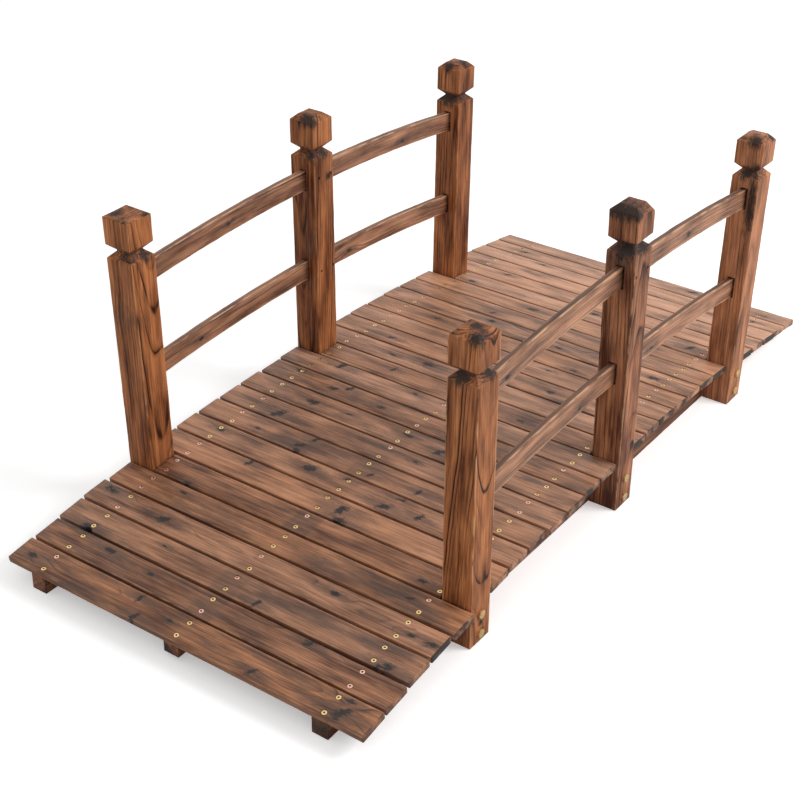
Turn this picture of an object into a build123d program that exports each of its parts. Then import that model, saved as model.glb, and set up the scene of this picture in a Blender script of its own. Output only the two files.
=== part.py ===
from build123d import *
import os
from math import cos, degrees, radians, sin, sqrt, tan

os.makedirs("parts", exist_ok=True)

# Arched garden footbridge of scorched fir, in millimetres.
# X runs along the walkway from the near end to the far end, Y points to the left, Z points up.
# The origin lies on the ground under the middle of the deck.

# Deck
deck_crown = 95.5  # walking surface at mid-span, above the ground
deck_radius = 4800.0  # arc of the walking surface
deck_length = 1475.0  # along the walking surface, from end to end
board_thickness = 12.0
board_gap = 4.2
board_overhang = 0.5  # how far a whole board stands out beyond the posts' outer faces
board_edge_radius = 1.5
deck_drift = 8.5  # the boards wander this far to the right at the near end, to the left at the far end
end_board_count = 5  # whole boards beyond each end post
bay_board_count = 7  # whole boards between two posts

# Stringers
walkway_width = 566.0  # clear width between the posts, and across the outer stringers
stringer_thickness = 28.0
stringer_setback = 3.0  # from the end of the deck to the stringer's end face
middle_stringer_clearance = 9.0  # the middle stringer is shallower and stays off the ground

# Posts
post_width = 51.0
post_side_gap = 4.2  # between a post and the whole boards beside it
short_board_clearance = 1.5  # between a short board's end and the post's inner face
end_shoulder_height = 442.5  # shoulder under the neck, on the posts near the deck's ends
middle_shoulder_height = 469.5
neck_width = 28.0
neck_slope_height = 10.5  # rise of each of the neck's two slopes
neck_band_height = 1.5  # flat band between the slopes
cap_side_height = 42.5
cap_top_width = 28.0
cap_top_rise = 9.0
left_post_leans = (-1.8, -1.2, -0.2)  # degrees towards the far end: near, middle and far post
right_post_leans = (-1.0, -1.9, 0.9)
left_post_shifts = (0.0, 0.0, 0.0)  # towards the far end, from the middle of the post's slot in the deck
right_post_shifts = (0.0, 0.0, -3.0)

# Rails
rail_radius = 3600.0  # arc of a rail's top edge
upper_rail_drop = 24.3  # from the middle posts' shoulder down to the crown of the upper rails' arc
lower_rail_drop = 195.3
rail_height = 35.5
rail_thickness = 10.0
rail_offset = 2.0  # the rails lie this far to the left of the posts' middle, on both sides
tenon_length = 20.0  # how far a rail reaches into a post
mortise_width = 14.4  # in the middle of the post, so that a slot stays open on the rail's right
mortise_bottom_clearance = 0.2
mortise_top_clearance = 3.0
mortise_end_clearance = 0.5

# Derived places
short_board_width = post_width + 2 * (post_side_gap - board_gap)
post_inner_y = walkway_width / 2
post_center_y = post_inner_y + post_width / 2
board_length = 2 * (post_inner_y + post_width + board_overhang)
short_board_length = 2 * (post_inner_y - short_board_clearance)
deck_center_z = deck_crown - deck_radius
stringer_top_radius = deck_radius - board_thickness
upper_rail_crown = middle_shoulder_height - upper_rail_drop
lower_rail_crown = middle_shoulder_height - lower_rail_drop


def board_rows():
    """Whether each row of the deck is a short board between two posts, from the near end."""
    ends = [False] * end_board_count
    bay = [False] * bay_board_count
    return ends + [True] + bay + [True] + bay + [True] + ends


def board_places(rows):
    """Width of each row's board and the angle of its centre on the deck's arc, from mid-span."""
    whole_room = deck_length - short_board_width * sum(rows) - board_gap * len(rows[1:])
    whole_board_width = whole_room / (len(rows) - sum(rows))
    start = -deck_length / 2
    places = []
    for is_short in rows:
        width = short_board_width if is_short else whole_board_width
        places.append((width, (start + width / 2) / deck_radius))
        start += width + board_gap
    return places


def arc_height(radius, center_z, x):
    """Height of an arc about the middle of the bridge, at a place along it."""
    return center_z + sqrt(radius**2 - x**2)


def deck_board(width, length, angle, y):
    """A cross board with eased long edges, laid on the arc with its top tangent to it."""
    board = Box(width, length, board_thickness, align=(Align.CENTER, Align.CENTER, Align.MAX))
    board = fillet(board.edges().filter_by(Axis.Y), board_edge_radius)
    x = deck_radius * sin(angle)
    z = deck_center_z + deck_radius * cos(angle)
    return Location((x, y, z), (0, degrees(angle), 0)) * board


def arc_plank(x_from, x_to, radius, center_z, bottom, thickness, y):
    """An upright plank whose top edge is an arc.

    Its bottom edge is flat at a height, or else an arc of its own given as a radius.
    """
    top_from = (x_from, arc_height(radius, center_z, x_from))
    top_to = (x_to, arc_height(radius, center_z, x_to))
    x_mid = (x_from + x_to) / 2
    top_edge = ThreePointArc(top_from, (x_mid, arc_height(radius, center_z, x_mid)), top_to)
    kind, value = bottom
    if kind == "flat":
        low_from, low_to = (x_from, value), (x_to, value)
        low_edge = Line(low_from, low_to)
    else:
        low_from = (x_from, arc_height(value, center_z, x_from))
        low_to = (x_to, arc_height(value, center_z, x_to))
        low_edge = ThreePointArc(low_from, (x_mid, arc_height(value, center_z, x_mid)), low_to)
    outline = Curve() + [top_edge, low_edge, Line(low_from, top_from), Line(low_to, top_to)]
    plank = extrude(Plane.XZ * make_face(outline), thickness / 2, both=True)
    return Pos(0, y, 0) * plank


def stringer(y, half_length, bottom):
    """A plank on edge with an arched top that carries the boards and a flat bottom edge."""
    return arc_plank(-half_length, half_length, stringer_top_radius, deck_center_z,
                     ("flat", bottom), stringer_thickness, y)


def frustum(low_width, high_width, low_z, high_z):
    """A square block between two heights, with its own width at each."""
    low = Pos(0, 0, low_z) * Rectangle(low_width, low_width)
    high = Pos(0, 0, high_z) * Rectangle(high_width, high_width)
    return loft([low, high])


def post_blank(shoulder_height):
    """An upright post with a V-shaped neck and a cap with a chamfered top."""
    neck_low = shoulder_height + neck_slope_height
    neck_high = neck_low + neck_band_height
    cap_low = neck_high + neck_slope_height
    cap_high = cap_low + cap_side_height
    post = frustum(post_width, post_width, -post_width, shoulder_height)
    post += frustum(post_width, neck_width, shoulder_height, neck_low)
    post += frustum(neck_width, neck_width, neck_low, neck_high)
    post += frustum(neck_width, post_width, neck_high, cap_low)
    post += frustum(post_width, post_width, cap_low, cap_high)
    post += frustum(post_width, cap_top_width, cap_high, cap_high + cap_top_rise)
    return post


def post_axis_x(post, z):
    """Place of a post's axis along the bridge, at a height."""
    x, pivot_z, lean = post
    return x + tan(radians(lean)) * (z - pivot_z)


def rail(near_post, far_post, crown, y, thickness=rail_thickness,
         bottom_clearance=0.0, top_clearance=0.0, end_clearance=0.0):
    """An arched rail from inside one post to inside the next, or the room it needs there."""
    center_z = crown - rail_radius
    reach = post_width / 2 - tenon_length - end_clearance
    near_x = post_axis_x(near_post, arc_height(rail_radius, center_z, near_post[0])) + reach
    far_x = post_axis_x(far_post, arc_height(rail_radius, center_z, far_post[0])) - reach
    return arc_plank(near_x, far_x, rail_radius + top_clearance, center_z,
                     ("arc", rail_radius - rail_height - bottom_clearance), thickness, y)


def write(node, solid):
    """Keep one piece of the bridge under its name."""
    solid.label = node
    export_step(solid, f"parts/{node}.step")


# Boards
rows = board_rows()
places = board_places(rows)
end_angle = deck_length / 2 / deck_radius
for number, (is_short, (width, angle)) in enumerate(zip(rows, places), start=1):
    if is_short:
        board = deck_board(width, short_board_length, angle, 0.0)
    else:
        board = deck_board(width, board_length, angle, deck_drift * angle / end_angle)
    write(f"deck_board_{number:02d}", board)

# Stringers
stringer_half_length = deck_radius * sin(end_angle) - stringer_setback
outer_stringer_y = post_inner_y - stringer_thickness / 2
for node, y, bottom in (("left_stringer", outer_stringer_y, 0.0),
                        ("middle_stringer", 0.0, middle_stringer_clearance),
                        ("right_stringer", -outer_stringer_y, 0.0)):
    write(node, stringer(y, stringer_half_length, bottom))

# Posts and rails, one side at a time
post_places = ("near", "middle", "far")
post_angles = [angle for is_short, (_, angle) in zip(rows, places) if is_short]
shoulder_heights = (end_shoulder_height, middle_shoulder_height, end_shoulder_height)
ground = Box(4 * deck_radius, 4 * post_width, 2 * post_width, align=(Align.CENTER, Align.CENTER, Align.MAX))

for side, direction, leans, shifts in (("left", 1, left_post_leans, left_post_shifts),
                                       ("right", -1, right_post_leans, right_post_shifts)):
    y = direction * post_center_y
    posts = []
    for angle, lean, shift in zip(post_angles, leans, shifts):
        pivot_x = deck_radius * sin(angle) + shift
        pivot_z = deck_center_z + deck_radius * cos(angle)
        posts.append((pivot_x, pivot_z, lean))

    rails = {}
    mortises = []
    for place, near_post, far_post in (("near", posts[0], posts[1]), ("far", posts[1], posts[2])):
        for level, crown in (("upper", upper_rail_crown), ("lower", lower_rail_crown)):
            rails[f"{place}_{side}_{level}_rail"] = rail(near_post, far_post, crown, y + rail_offset)
            mortises.append(rail(near_post, far_post, crown, y, mortise_width, mortise_bottom_clearance,
                                 mortise_top_clearance, mortise_end_clearance))

    for place, post, shoulder_height in zip(post_places, posts, shoulder_heights):
        pivot_x, pivot_z, lean = post
        body = Pos(0, 0, -pivot_z) * post_blank(shoulder_height)
        body = Location((pivot_x, y, pivot_z), (0, lean, 0)) * body
        body -= Pos(0, y, 0) * ground
        for mortise in mortises:
            body -= mortise
        write(f"{place}_{side}_post", body)

    for node, solid in rails.items():
        write(node, solid)
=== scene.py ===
import math
import random

import bmesh
import bpy
from mathutils import Matrix, Vector


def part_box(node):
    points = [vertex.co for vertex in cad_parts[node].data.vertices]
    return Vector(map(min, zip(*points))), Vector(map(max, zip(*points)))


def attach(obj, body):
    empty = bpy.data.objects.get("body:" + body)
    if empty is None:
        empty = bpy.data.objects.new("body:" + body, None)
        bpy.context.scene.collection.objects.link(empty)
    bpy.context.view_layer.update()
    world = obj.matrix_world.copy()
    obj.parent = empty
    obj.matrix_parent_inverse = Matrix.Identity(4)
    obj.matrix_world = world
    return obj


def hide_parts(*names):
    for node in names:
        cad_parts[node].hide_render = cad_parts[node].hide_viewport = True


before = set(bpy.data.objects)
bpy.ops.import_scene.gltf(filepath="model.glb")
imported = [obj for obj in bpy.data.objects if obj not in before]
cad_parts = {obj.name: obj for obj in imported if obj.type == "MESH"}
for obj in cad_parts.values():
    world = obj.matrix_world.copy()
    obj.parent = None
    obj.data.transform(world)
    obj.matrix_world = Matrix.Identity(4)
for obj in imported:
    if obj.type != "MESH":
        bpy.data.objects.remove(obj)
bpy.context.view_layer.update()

bl_info = {
    "name": "Arched Garden Footbridge",
    "version": (1, 0, 0),
    "blender": (4, 5, 0),
    "location": "3D View > Sidebar > Footbridge",
    "description": "Worn boards, posts, rails and fasteners of a scorched fir footbridge, around its solids",
    "category": "Object",
}

MM = 0.001
ALONG_X = Vector((1.0, 0.0, 0.0))
ALONG_Y = Vector((0.0, 1.0, 0.0))
UP = Vector((0.0, 0.0, 1.0))
SPIN_MARGIN = 0.004  # radians that an arched plank is spun past each of its ends
SPIN_STEP = 0.011  # metres from one step of the spin to the next
SAWN_OFF = 0.02  # metres that stringers reach below their feet before they are sawn off level
BELOW_GROUND = 0.002  # metres that posts reach below the ground before they are sawn off level

# Pieces of the frame, by name
BOARD_NODES = sorted(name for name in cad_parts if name.startswith("deck_board"))
STRINGER_NODES = ("left_stringer", "middle_stringer", "right_stringer")
SIDES = {"left": 1, "right": -1}
PLACES = ("near", "middle", "far")
POSTS = {f"{place}_{side}_post": (place, side) for side in SIDES for place in PLACES}
BAYS = {"near": ("near", "middle"), "far": ("middle", "far")}
RAILS = {f"{bay}_{side}_{level}_rail": (bay, side, level)
         for side in SIDES for bay in BAYS for level in ("upper", "lower")}

# How light each board of the deck is, from the near end, 0 dark brown and 1 pale tan: each board's own tone,
# plus painted sheen that rises towards the far end
BOARD_TONES_AND_SHEEN = (0.42, 0.34, 0.50, 0.58, 0.48, 0.45, 0.78, 0.68, 0.66, 0.58, 0.68, 0.62, 0.74, 0.60,
               0.66, 0.78, 0.70, 0.82, 0.86, 0.76, 1.00, 0.98, 0.98, 1.12, 1.15, 1.02, 0.85)

# How far each whole board's left and right ends reach beyond its solid's, in millimetres
BOARD_ENDS = {
    1: (4, 0), 2: (1.5, 0), 3: (3.5, -1), 4: (4.5, -1), 5: (0.5, 2.5),
    7: (2, -7), 8: (3, -8), 9: (1.5, -7), 10: (0, -2.5), 11: (-0.5, -1.5), 12: (-3.5, -3.5), 13: (-1.5, -4),
    15: (0.5, -7), 16: (1.5, -8), 17: (2.5, -9), 18: (0.5, -8), 19: (2, -9), 20: (1, -7.5), 21: (1, -6.5),
    23: (2.5, -1.5), 24: (2.5, -2.5), 25: (4, -1), 26: (3, -2), 27: (4, -2.5),
}

# Knots that show in single boards: millimetres to the left and towards the far end, size, and degrees
# that the knot's length is turned out of the grain
BOARD_KNOTS = {
    1: ((97, 14, 6, 70), (80, -20, 7, 80), (-135, -12, 6, 60), (-287, -7, 10, 50), (-286, 17, 6, 0),
        (305, -3, 8, 0), (30, 2, 4, 10)),
    2: ((210, 11, 7, 0), (120, 6, 4, 0), (-173, 19, 7, 20)),
    3: ((278, -20, 9, 40), (142, 8, 4, 0), (-57, -15, 6, 75), (-290, -18, 9, 20)),
    4: ((306, 11, 8, 0), (185, 0, 8, 20), (-144, 7, 6, 0), (-287, -4, 5, 0), (-320, -4, 7, 10)),
    5: ((207, 11, 4, 0), (-239, 2, 5, 10)),
    6: ((212, -22, 5, 0), (-240, -12, 6, 20)),
    7: ((161, 19, 6, 60), (-38, 0, 9, 70), (-52, -21, 8, 0)),
    8: ((261, 9, 5, 0), (69, 4, 9, 10), (-2, 14, 5, 0), (-90, -10, 8, 20), (-104, 18, 5, 10),
        (-153, -3, 6, 70)),
    9: ((214, -8, 4, 0), (124, -8, 7, 30), (111, 20, 6, 60), (119, -22, 5, 0), (-23, -11, 5, 60),
        (-115, -5, 5, 80)),
    10: ((214, -7, 9, 50), (-60, 5, 4, 0)),
    11: ((189, -1, 8, 0), (114, 3, 5, 0), (-5, 6, 6, 0), (-77, -4, 7, 50)),
    12: ((273, 14, 7, 10), (188, -1, 6, 10), (163, 16, 6, 60), (83, -3, 5, 0)),
    13: ((222, 16, 8, 70), (60, 13, 4, 0)),
    14: ((-135, -9, 6, 0), (140, 6, 5, 70)),
    15: ((171, -4, 5, 0), (97, 3, 8, 10)),
    16: ((207, -5, 6, 20), (-131, -2, 6, 0)),
    20: ((120, -12, 5, 60),),
    25: ((180, 12, 5, 0),),
}

# Boards that the torch scorched over the middle stringer
SCORCHED_BOARDS = {2: 0.7, 3: 0.6, 6: 0.9, 9: 0.6, 11: 0.5, 16: 0.5}


def length_setting(description, default):
    """A size in metres that a user can change."""
    return bpy.props.FloatProperty(description=description, default=default, unit="LENGTH", precision=4,
                                   min=0.0)


def angle_setting(description, degrees):
    """An angle that a user can change."""
    return bpy.props.FloatProperty(description=description, default=math.radians(degrees), subtype="ANGLE",
                                   unit="ROTATION")


def colour_setting(description, default):
    """A colour that a user can change."""
    return bpy.props.FloatVectorProperty(description=description, default=default, subtype="COLOR", size=3,
                                         min=0.0, max=1.0)


class DeckSettings(bpy.types.PropertyGroup):
    radius: length_setting("Arc of the walking surface", 4.8)
    crown: length_setting("Height of the walking surface at mid-span", 0.0955)
    board_thickness: length_setting("Thickness of every board", 0.012)
    board_edge: length_setting("Rounding of a board's edges", 0.0016)
    wear: length_setting("Depth of the hollows worn into a board", 0.0007)
    sawing: length_setting("How unevenly the boards were cut to width", 0.0014)
    turn: angle_setting("How far out of square a board may lie", 0.1)


class PostSettings(bpy.types.PropertyGroup):
    width: length_setting("Side of a post's square section", 0.051)
    end_shoulder: length_setting("Shoulder height of the posts near the ends", 0.4425)
    middle_shoulder: length_setting("Shoulder height of the middle posts", 0.4695)
    neck_width: length_setting("Side of the neck at its narrowest", 0.028)
    neck_slope: length_setting("Rise of each slope of the neck", 0.0105)
    neck_band: length_setting("Flat band between the neck's slopes", 0.0015)
    cap_side: length_setting("Height of the cap's upright sides", 0.0425)
    edge: length_setting("Rounding of a post's edges", 0.0014)
    wear: length_setting("Depth of the hollows worn into a post", 0.0009)


class RailSettings(bpy.types.PropertyGroup):
    radius: length_setting("Arc of a rail's top edge", 3.6)
    upper_crown: length_setting("Top of the upper rails' arc at mid-span", 0.4452)
    lower_crown: length_setting("Top of the lower rails' arc at mid-span", 0.2742)
    height: length_setting("Height of a rail's section", 0.0355)
    thickness: length_setting("Thickness of a rail's section", 0.010)
    edge: length_setting("Rounding of a rail's edges", 0.0014)
    mortise_width: length_setting("Width of the mortises that hold the rails", 0.0144)
    mortise_room: length_setting("Gap above a rail in its mortise", 0.003)
    wear: length_setting("Depth of the hollows worn into a rail", 0.0008)


class FastenerSettings(bpy.types.PropertyGroup):
    screw_head: length_setting("Diameter of a deck screw's head", 0.0078)
    screw_spacing: length_setting("Between the two screws of a board", 0.029)
    countersink: length_setting("Diameter of the hole around a screw's head", 0.0092)
    sink: length_setting("How deep the deepest heads sit", 0.0009)
    bolt_flats: length_setting("Width of a bolt's head across its flats", 0.013)
    bolt_height: length_setting("How far a bolt's head stands out", 0.0053)
    zinc: colour_setting("Yellow zinc of most screws", (1.0, 0.72, 0.33))
    copper: colour_setting("Pinkish plating of the other screws", (1.0, 0.62, 0.50))
    brass: colour_setting("Brownish gold of the bolts", (0.84, 0.60, 0.30))
    # Painted shade: a dark colour for the screws' recesses, where shade falls
    recess: colour_setting("Dark colour painted into the screws' recesses as shade", (0.110, 0.060, 0.026))


class FinishSettings(bpy.types.PropertyGroup):
    pale: colour_setting("Early wood where it is least scorched", (0.62, 0.262, 0.110))
    brown: colour_setting("Early wood where the stain is strong", (0.088, 0.025, 0.009))
    late: colour_setting("Dark lines of the growth rings", (0.030, 0.009, 0.004))
    stain: colour_setting("Orange stain on the sawn sides of the boards", (0.30, 0.085, 0.022))
    smoke: colour_setting("Grey-brown haze of the torch", (0.052, 0.040, 0.036))
    char: colour_setting("Burnt wood at knots, ends and notches", (0.024, 0.020, 0.019))
    bare: colour_setting("Worn edges where the stain is gone", (0.66, 0.36, 0.19))


class StageSettings(bpy.types.PropertyGroup):
    camera_place: bpy.props.FloatVectorProperty(
        description="Where the camera stands", default=(-1.953, -1.249, 1.4542), subtype="TRANSLATION",
        unit="LENGTH", size=3, precision=4)
    camera_turn: angle_setting("Direction of view, from +X towards +Y", 33.764)
    camera_dip: angle_setting("How far the camera looks down", 30.309)
    camera_roll: angle_setting("Turn of the camera about its line of view", 1.570)
    camera_lens: bpy.props.FloatProperty(description="Focal length on a 36 mm sensor", default=69.39,
                                         unit="CAMERA")
    camera_shift: bpy.props.FloatVectorProperty(
        description="Shift of the picture, as a share of its width", default=(-0.0375, -0.01), size=2,
        precision=4)
    sky: bpy.props.FloatProperty(description="Strength of the even light all round", default=0.60)
    key: bpy.props.FloatProperty(description="Power of the large lamp on the bridge's right", default=67.0,
                                 unit="POWER")


SETTINGS = {"footbridge_deck": DeckSettings, "footbridge_posts": PostSettings,
            "footbridge_rails": RailSettings, "footbridge_fasteners": FastenerSettings,
            "footbridge_finish": FinishSettings, "footbridge_stage": StageSettings}


def settings(group):
    """The values that a user has set in one group of settings."""
    return getattr(bpy.context.scene, f"footbridge_{group}")


def pose(place, *turns):
    """A matrix that takes an object to a place, turned by angles about axes, the last one first."""
    matrix = Matrix.Translation(place)
    for angle, axis in turns:
        matrix = matrix @ Matrix.Rotation(angle, 4, axis)
    return matrix


def select(*pieces):
    """Select some objects alone and make the first one active."""
    bpy.ops.object.select_all(action="DESELECT")
    for piece in pieces:
        piece.select_set(True)
    bpy.context.view_layer.objects.active = pieces[0]


def settle(piece):
    """Move an object's place, turn and size into its mesh."""
    select(piece)
    bpy.ops.object.transform_apply(location=True, rotation=True, scale=True)


def put(piece, matrix):
    """Give an object a place, turn and size, and move them into its mesh."""
    piece.matrix_world = matrix
    settle(piece)


def taken(name):
    """The object that was just added, named and with its place in its mesh."""
    piece = bpy.context.active_object
    piece.name = name
    settle(piece)
    return piece


def block(name, size, middle=(0.0, 0.0, 0.0)):
    """A box of a size about a point, ready to be shaped."""
    bpy.ops.object.select_all(action="DESELECT")
    bpy.ops.mesh.primitive_cube_add(size=1.0, location=middle, scale=size)
    return taken(name)


def rod(name, vertices, radius, depth, middle=(0.0, 0.0, 0.0), turn=(0.0, 0.0, 0.0)):
    """A cylinder about a point, ready to be shaped."""
    bpy.ops.object.select_all(action="DESELECT")
    bpy.ops.mesh.primitive_cylinder_add(vertices=vertices, radius=radius, depth=depth, location=middle,
                                        rotation=turn)
    return taken(name)


def copy_of(model, name):
    """A copy of a model with its own mesh."""
    select(model)
    bpy.ops.object.duplicate()
    piece = bpy.context.active_object
    piece.name = name
    return piece


def discard(*pieces):
    """Delete objects that were only a help in making others."""
    select(*pieces)
    bpy.ops.object.delete()


def join(pieces, name):
    """Join several objects into one."""
    select(*pieces)
    bpy.ops.object.join()
    pieces[0].name = name
    return pieces[0]


def shape(piece):
    """Go into edit mode on one object with nothing selected."""
    select(piece)
    bpy.ops.object.mode_set(mode="EDIT")
    bpy.ops.mesh.select_all(action="DESELECT")


def done():
    """Leave edit mode."""
    bpy.ops.object.mode_set(mode="OBJECT")


def pick(piece, kind, test):
    """In edit mode, select the vertices, edges or faces that pass a test."""
    bpy.ops.mesh.select_mode(type={"verts": "VERT", "edges": "EDGE", "faces": "FACE"}[kind])
    bpy.ops.mesh.select_all(action="DESELECT")
    mesh = bmesh.from_edit_mesh(piece.data)
    for element in getattr(mesh, kind):
        if test(element):
            element.select_set(True)
    bmesh.update_edit_mesh(piece.data)


def middle_of(element):
    """Middle point of an edge or a face."""
    return sum((vertex.co for vertex in element.verts), Vector()) / len(element.verts)


def runs_along(edge, axis):
    """Whether an edge runs along an axis."""
    way = edge.verts[1].co - edge.verts[0].co
    return abs(way.dot(axis)) > 0.97 * way.length


def divide(piece, axis, cuts):
    """Cut an object into even lengths along an axis."""
    pick(piece, "edges", lambda edge: runs_along(edge, axis))
    bpy.ops.mesh.subdivide(number_cuts=cuts)


def saw_off(point, outward):
    """In edit mode, saw off all that lies outward of a point and close the cut."""
    bpy.ops.mesh.select_all(action="SELECT")
    bpy.ops.mesh.bisect(plane_co=point, plane_no=outward, use_fill=True, clear_outer=True)
    bpy.ops.mesh.select_all(action="SELECT")
    bpy.ops.mesh.normals_make_consistent(inside=False)


def modify(piece, kind, **values):
    """Add a modifier with some values and apply it."""
    select(piece)
    modifier = piece.modifiers.new(kind.title(), kind)
    for key, value in values.items():
        setattr(modifier, key, value)
    bpy.ops.object.modifier_apply(modifier=modifier.name)


def clouds(name, size, depth):
    """A cloudy procedural texture that drives wear."""
    texture = bpy.data.textures.new(name, "CLOUDS")
    texture.noise_scale = size
    texture.noise_depth = depth
    return texture


def ease(piece, width):
    """Round every sharp edge."""
    modify(piece, "BEVEL", width=width, segments=2, limit_method="ANGLE", angle_limit=math.radians(18))


def wear(piece, depth):
    """Wear shallow hollows and small nicks into the surface."""
    for name, share in (("Hollows", 1.0), ("Nicks", 0.6)):
        modify(piece, "DISPLACE", texture=bpy.data.textures[name], texture_coords="LOCAL",
               strength=depth * share, mid_level=0.55)


def cut(piece, cutter):
    """Cut one object's volume out of another and delete the cutter."""
    modify(piece, "BOOLEAN", operation="DIFFERENCE", solver="EXACT", object=cutter)
    discard(cutter)
    if not piece.data.polygons:
        raise RuntimeError(f"Nothing is left of {piece.name} after a cut")


def soften(piece, angle=30.0):
    """Shade smoothly across edges flatter than an angle."""
    select(piece)
    bpy.ops.object.shade_smooth_by_angle(angle=math.radians(angle))


def finish_piece(piece, node, material, angle=30.0):
    """Give a shaped piece its shading, its material and its body, and hide the node that it stands for."""
    soften(piece, angle)
    piece.data.materials.clear()
    piece.data.materials.append(material)
    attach(piece, "root")
    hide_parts(node)


def reckoning(operation, swapped=False):
    """A method that reckons with two values in a shader node."""
    def reckon(self, other):
        first, second = (other, self) if swapped else (self, other)
        return self.nodes.math(operation, first, second)
    return reckon


class Value:
    """An output of a shader node, to be reckoned with like a number."""
    __add__ = reckoning("ADD")
    __sub__ = reckoning("SUBTRACT")
    __rsub__ = reckoning("SUBTRACT", swapped=True)
    __mul__ = reckoning("MULTIPLY")
    __truediv__ = reckoning("DIVIDE")
    __pow__ = reckoning("POWER")

    def __init__(self, nodes, socket):
        self.nodes = nodes
        self.socket = socket

    def __abs__(self):
        return self.nodes.math("ABSOLUTE", self)


class Nodes:
    """Adds and links shader nodes in a material, a world or a node group."""

    def __init__(self, tree):
        self.tree = tree
        tree.nodes.clear()

    def add(self, kind, inputs=None, **settings):
        """Add a node, with a number or another node's output at some of its inputs."""
        node = self.tree.nodes.new(kind)
        for key, value in settings.items():
            setattr(node, key, value)
        for key, value in (inputs or {}).items():
            if isinstance(value, Value):
                self.tree.links.new(value.socket, node.inputs[key])
            else:
                node.inputs[key].default_value = value
        return node

    def value(self, output, kind, inputs=None, **settings):
        """Add a node and return one of its outputs."""
        return Value(self, self.add(kind, inputs, **settings).outputs[output])

    def values(self, kind, inputs=None, **settings):
        """Add a node and return its outputs by name."""
        return {output.name: Value(self, output) for output in self.add(kind, inputs, **settings).outputs}

    def group(self, name, inputs):
        """Add a node group and return its outputs by name."""
        return self.values("ShaderNodeGroup", inputs, node_tree=bpy.data.node_groups[name])

    def math(self, operation, *values, clamp=False):
        return self.value(0, "ShaderNodeMath", dict(enumerate(values)), operation=operation, use_clamp=clamp)

    def most(self, first, second):
        return self.math("MAXIMUM", first, second)

    def vector(self, operation, *values):
        return self.value(0, "ShaderNodeVectorMath", dict(enumerate(values)), operation=operation)

    def scaled(self, vector, factor):
        return self.value(0, "ShaderNodeVectorMath", {0: vector, "Scale": factor}, operation="SCALE")

    def length(self, vector, stretch):
        """Length of a vector after a stretch of its own each way."""
        stretched = self.vector("MULTIPLY", vector, stretch)
        return self.value("Value", "ShaderNodeVectorMath", {0: stretched}, operation="LENGTH")

    def parts(self, vector):
        """A vector's parts, by the letters of their axes."""
        return self.values("ShaderNodeSeparateXYZ", {0: vector})

    def point(self, *parts):
        return self.value(0, "ShaderNodeCombineXYZ", dict(enumerate(parts)))

    def mix(self, factor, first, second, **settings):
        """A mix of two colours."""
        return self.value(2, "ShaderNodeMix", {0: factor, 6: first, 7: second}, data_type="RGBA", **settings)

    def blend(self, factor, first, second):
        """A mix of two numbers."""
        return self.value(0, "ShaderNodeMix", {0: factor, 2: first, 3: second}, data_type="FLOAT")

    def either(self, factor, first, second):
        """One of two shaders."""
        return self.value(0, "ShaderNodeMixShader", {0: factor, 1: first, 2: second})

    def noise(self, place, stretch, detail=2.0, roughness=0.5, output="Fac"):
        """Noise whose grain is as long each way as one over the stretch."""
        stretched = self.vector("MULTIPLY", place, stretch)
        return self.value(output, "ShaderNodeTexNoise", {"Vector": stretched, "Scale": 1.0, "Detail": detail,
                                                         "Roughness": roughness})

    def rise(self, value, low, high):
        """Rise smoothly from 0 to 1 as a value goes from low to high."""
        return self.value(0, "ShaderNodeMapRange", {0: value, 1: low, 2: high},
                          interpolation_type="SMOOTHSTEP")

    def fall(self, value, low, high):
        """Fall smoothly from 1 to 0 as a value goes from low to high."""
        return 1.0 - self.rise(value, low, high)

    def curve(self, value, stops):
        """A grey ramp through given heights."""
        node = self.add("ShaderNodeValToRGB", {"Fac": value})
        ramp = node.color_ramp
        while len(ramp.elements) < len(stops):
            ramp.elements.new(0.5)
        for element, (place, height) in zip(ramp.elements, stops):
            element.position = place
            element.color = (height, height, height, 1.0)
        return Value(self, node.outputs["Color"])

    def finish(self, inputs):
        """Close a material with a principled surface."""
        surface = self.value(0, "ShaderNodeBsdfPrincipled", inputs)
        self.add("ShaderNodeOutputMaterial", {"Surface": surface})


def new_material(name):
    """A new material and its nodes."""
    material = bpy.data.materials.new(name)
    material.use_nodes = True
    return material, Nodes(material.node_tree)


def opaque(colour):
    """A colour with full alpha."""
    return (*colour, 1.0)


WHITE = (1.0, 1.0, 1.0, 1.0)
HALF = (0.5, 0.5, 0.5)
ORIGIN = (0.0, 0.0, 0.0)

# What a bar of fir can be told, and what holds where it isn't told
FIR_INPUTS = {
    "Place": ORIGIN, "Half Size": ORIGIN, "Seed": 0.0, "Pith Side": 60.0, "Pith Depth": -40.0, "Taper": 0.0,
    "Depth Taper": 0.0, "Ring Spacing": 3.0, "Ring Shift": 0.0, "Warp": 9.0, "Lines": 0.8, "Tone": 0.5,
    "Saturation": 1.0, "Smoke": 0.4, "Smear": 0.0, "Knot": 0.0, "Side Stain": 0.0, "Notch Char": 0.0,
    "Low End Char": 0.5, "High End Char": 0.5, "Edge Wear": 0.5, "Top Char": 0.0, "Near Side Tone": 0.0,
    "Head Tone": 0.0, "Hue": 0.5,
}


def node_group(name, inputs, outputs):
    """The nodes and the inputs of a new node group whose inputs have given defaults."""
    group = bpy.data.node_groups.new(name, "ShaderNodeTree")
    for key, default in inputs.items():
        kind = "NodeSocketVector" if isinstance(default, tuple) else "NodeSocketFloat"
        socket = group.interface.new_socket(key, in_out="INPUT", socket_type=kind)
        socket.default_value = default
    for key in outputs:
        kind = "NodeSocketColor" if key == "Color" else "NodeSocketFloat"
        group.interface.new_socket(key, in_out="OUTPUT", socket_type=kind)
    nodes = Nodes(group)
    return nodes, nodes.values("NodeGroupInput")


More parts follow.
